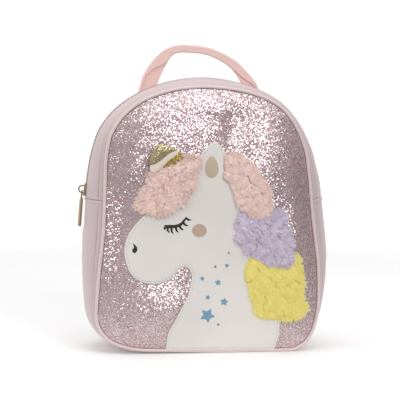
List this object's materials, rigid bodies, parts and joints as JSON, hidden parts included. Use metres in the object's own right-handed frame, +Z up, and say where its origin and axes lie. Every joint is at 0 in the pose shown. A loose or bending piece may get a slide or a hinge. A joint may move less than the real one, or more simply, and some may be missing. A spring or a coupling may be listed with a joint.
{
  "type": "kids animal backpack",
  "caption": "Small soft child's backpack with an arched front, a unicorn applique with fur mane, a zipped gusset, a top loop handle and two shoulder straps.",
  "frame": {"origin": "middle of the flat base that the bag stands on", "axes": "+Z up, front panel with the unicorn faces -Y, +X to the right of the front view"},
  "size_m": [0.2445, 0.1496, 0.299],
  "materials": {
    "glitter_leather": "pale lilac-pink imitation leather covered in fine silver glitter",
    "pink_leather": "smooth dusty-pink imitation leather, satin",
    "zip_tape": "pink woven tape and nylon coil",
    "cream_leather": "smooth off-white imitation leather, satin",
    "gold_glitter": "gold glitter with a cream backing",
    "peach_fur": "soft peach-pink faux fur",
    "lilac_fur": "soft lilac faux fur",
    "yellow_fur": "soft yellow faux fur",
    "peach_webbing": "peach-pink satin webbing",
    "pink_plastic": "pink moulded plastic",
    "light_gold": "polished light gold zip hardware"
  },
  "bodies": {
    "bag": {"front_panel": "glitter_leather", "gusset_lower": "pink_leather", "gusset_upper_front": "pink_leather", "gusset_upper_back": "pink_leather", "zipper": "zip_tape", "piping_front": "pink_leather", "piping_back": "pink_leather", "back_panel": "pink_leather", "unicorn_head": "cream_leather", "horn": "gold_glitter", "forelock_fur": "peach_fur", "mane_upper_fur": "peach_fur", "mane_middle_fur": "lilac_fur", "mane_lower_fur": "yellow_fur", "handle": "peach_webbing", "shoulder_strap_right": "pink_leather", "shoulder_strap_left": "pink_leather", "strap_webbing_right": "peach_webbing", "strap_webbing_left": "peach_webbing", "strap_adjuster_right": "pink_plastic", "strap_adjuster_left": "pink_plastic", "zip_slider": "light_gold"},
    "pull": {"zip_pull": "light_gold"}
  },
  "joints": [
    {"name": "pull_hinge", "type": "hinge", "parent": "bag", "child": "pull", "pos_m": [-0.11957, -0.0045, 0.15503], "axis": [0, 1, 0], "range_deg": [0, 160]}
  ]
}
